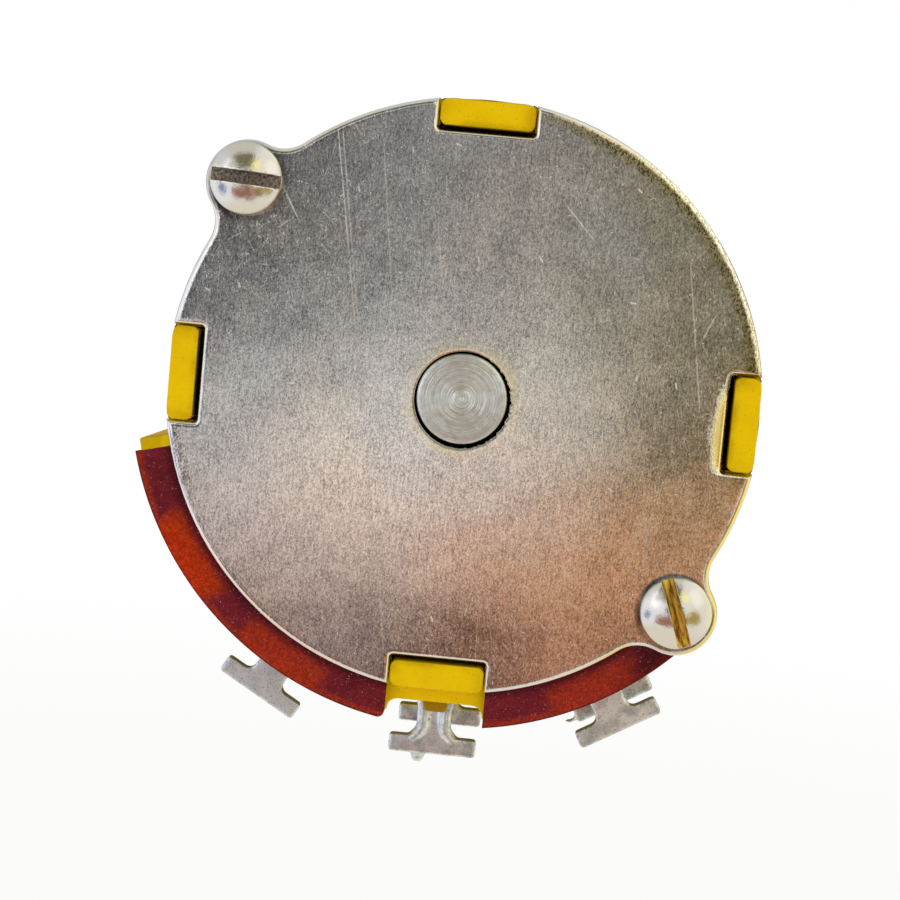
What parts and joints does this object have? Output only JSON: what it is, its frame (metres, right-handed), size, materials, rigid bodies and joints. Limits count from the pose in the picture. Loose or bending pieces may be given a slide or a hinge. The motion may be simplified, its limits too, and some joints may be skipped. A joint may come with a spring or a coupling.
{
  "type": "precision potentiometer",
  "caption": "Round wirewound precision potentiometer: moulded housing between notched metal end plates, threaded bushing mount, plain round shaft and solder terminals.",
  "frame": {"origin": "where the shaft's axis meets the mounting face of the front plate", "axes": "+Y along the shaft out through the panel, -Y towards the rear plate, -Z along the middle terminal"},
  "size_m": [0.0438, 0.0441, 0.0473],
  "materials": {
    "plate_metal": "rolled sheet, fine scratches",
    "plated_brass": "nickel plated, turned",
    "yellow_moulding": "moulded, satin",
    "plated_steel": "bright plated",
    "red_fibre": "stamped fibre sheet",
    "tinned_brass": "solder dipped",
    "brown_laminate": "paper laminate",
    "resistance_wire": "close wound wire",
    "spring_brass": "rolled strip",
    "shaft_steel": "turned",
    "spring_steel": "oiled black",
    "white_plastic": "plain",
    "contact_metal": "bright"
  },
  "bodies": {
    "case": {"front_plate": "plate_metal", "bushing": "plated_brass", "housing": "yellow_moulding", "rear_plate": "plate_metal", "case_screws": "plated_steel", "terminal_board_long": "red_fibre", "terminal_board_short": "red_fibre", "terminal_1": "tinned_brass", "terminal_2": "tinned_brass", "terminal_3": "tinned_brass", "base_insulator": "brown_laminate", "resistance_card": "brown_laminate", "resistance_winding": "resistance_wire", "end_clip_1": "spring_brass", "end_clip_3": "spring_brass", "end_lead_1": "tinned_brass", "end_lead_3": "tinned_brass", "collector_ring": "spring_brass", "collector_strip": "spring_brass"},
    "rotor": {"shaft": "shaft_steel", "retaining_ring": "spring_steel", "thrust_washer": "white_plastic", "rotor_hub": "brown_laminate", "set_screw": "spring_steel", "contact_arm": "spring_brass", "contact_brush": "contact_metal", "collector_arm": "spring_brass", "collector_brush": "contact_metal", "wiper_rivets": "spring_brass"}
  },
  "joints": [
    {"name": "shaft_turn", "type": "hinge", "parent": "case", "child": "rotor", "pos_m": [0, 0, 0], "axis": [0, 1, 0], "continuous": true}
  ]
}
